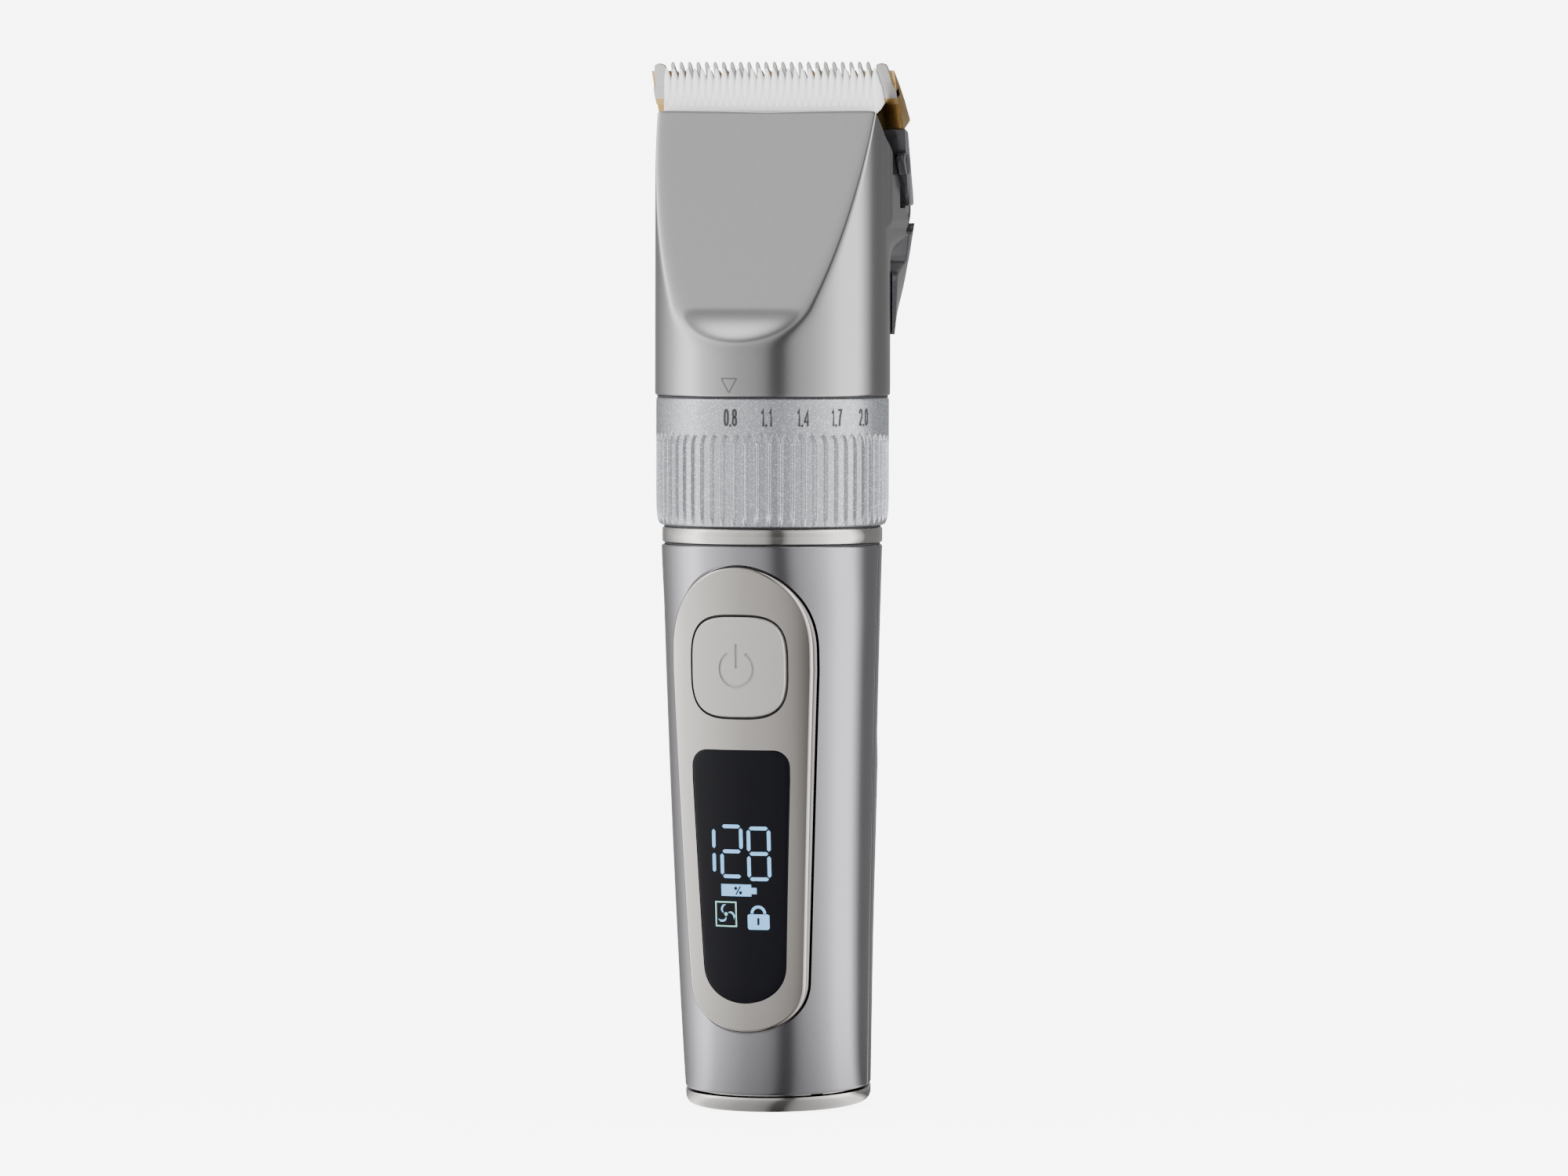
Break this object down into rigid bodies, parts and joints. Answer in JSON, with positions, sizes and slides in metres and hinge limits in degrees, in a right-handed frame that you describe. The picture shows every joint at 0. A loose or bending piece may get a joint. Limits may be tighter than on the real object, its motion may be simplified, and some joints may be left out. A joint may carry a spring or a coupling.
{
  "type": "hair clipper",
  "caption": "Cordless hair and beard clipper with a zero-gap dial, a display and a hinged cassette holding a fixed blade and a ceramic blade.",
  "frame": {"origin": "the point where the dial and motor axis meets the flat base face", "axes": "+Z along the dial axis towards the blades, -Y out of the front with the button and display, +X to the right seen from the front"},
  "size_m": [0.0442, 0.0433, 0.179],
  "materials": {
    "gunmetal": "satin gunmetal metallic paint",
    "nickel_chrome": "polished nickel plating",
    "warm_nickel": "warm satin nickel plating",
    "silver_sparkle": "silver paint with fine sparkle",
    "satin_button": "satin light grey",
    "black_lens": "polished black",
    "smoked_gloss": "dark smoky gloss",
    "titanium_gold": "titanium nitride coat, ground front face",
    "white_ceramic": "glazed zirconia",
    "white_nylon": "moulded nylon",
    "black_plastic": "moulded",
    "steel": "bright steel",
    "brass": "turned brass",
    "board": "solder mask",
    "battery_sleeve": "shrink sleeve",
    "wire_red": "wire insulation",
    "wire_black": "wire insulation",
    "grey_rubber": "foam rubber"
  },
  "bodies": {
    "handle": {"front_shell": "gunmetal", "rear_shell": "gunmetal", "head_shell": "gunmetal", "base_cap": "nickel_chrome", "collar_ring": "nickel_chrome", "front_panel": "warm_nickel", "display_window": "black_lens", "display_module": "white_nylon", "control_board": "board", "power_switch": "black_plastic", "battery_cell": "battery_sleeve", "battery_tab_positive": "steel", "battery_tab_negative": "steel", "battery_foam_pad": "grey_rubber", "charge_socket": "steel", "charge_tongue": "black_plastic", "motor_chassis": "black_plastic", "motor_can": "steel", "motor_end_cap": "black_plastic", "motor_lead_positive": "wire_red", "motor_lead_negative": "wire_black", "chassis_screw_left": "steel", "chassis_screw_right": "steel", "pusher_spring": "steel", "rear_hinge_cover": "smoked_gloss", "hinge_pin": "steel"},
    "dial": {"adjust_dial": "silver_sparkle"},
    "pusher": {"adjust_pusher": "white_nylon"},
    "button": {"power_button": "satin_button"},
    "rotor": {"motor_shaft": "steel", "drive_cam": "brass"},
    "cassette": {"blade_carrier": "smoked_gloss", "fixed_blade": "titanium_gold", "tension_spring": "steel", "fixed_blade_screw_left": "steel", "fixed_blade_screw_right": "steel"},
    "slide": {"blade_slide": "black_plastic"},
    "stroke": {"moving_blade": "white_ceramic", "drive_follower": "white_nylon"}
  },
  "joints": [
    {"name": "dial_turn", "type": "hinge", "parent": "handle", "child": "dial", "pos_m": [0, 0, 0.11], "axis": [0, 0, -1], "range_deg": [0, 72]},
    {"name": "pusher_lift", "type": "slide", "parent": "handle", "child": "pusher", "axis": [0, 0, -1], "range_m": [0, 0.00108]},
    {"name": "power_button_press", "type": "slide", "parent": "handle", "child": "button", "axis": [0, 1, 0], "range_m": [0, 0.0006]},
    {"name": "motor_spin", "type": "hinge", "parent": "handle", "child": "rotor", "pos_m": [0, 0, 0.13], "axis": [0, 0, 1], "continuous": true},
    {"name": "cassette_pivot", "type": "hinge", "parent": "handle", "child": "cassette", "pos_m": [0, 0.0181, 0.1531], "axis": [-1, 0, 0], "range_deg": [0, 50]},
    {"name": "blade_shift", "type": "slide", "parent": "cassette", "child": "slide", "axis": [0, 0.454, -0.891], "range_m": [0, 0.00121]},
    {"name": "blade_stroke", "type": "slide", "parent": "slide", "child": "stroke", "axis": [1, 0, 0], "range_m": [-0.0012, 0.0012]}
  ],
  "couplings": [
    {"joint": "pusher_lift", "follows": "dial_turn", "m_per_rad": 0.00085085},
    {"joint": "blade_shift", "follows": "dial_turn", "m_per_rad": 0.00095493}
  ]
}
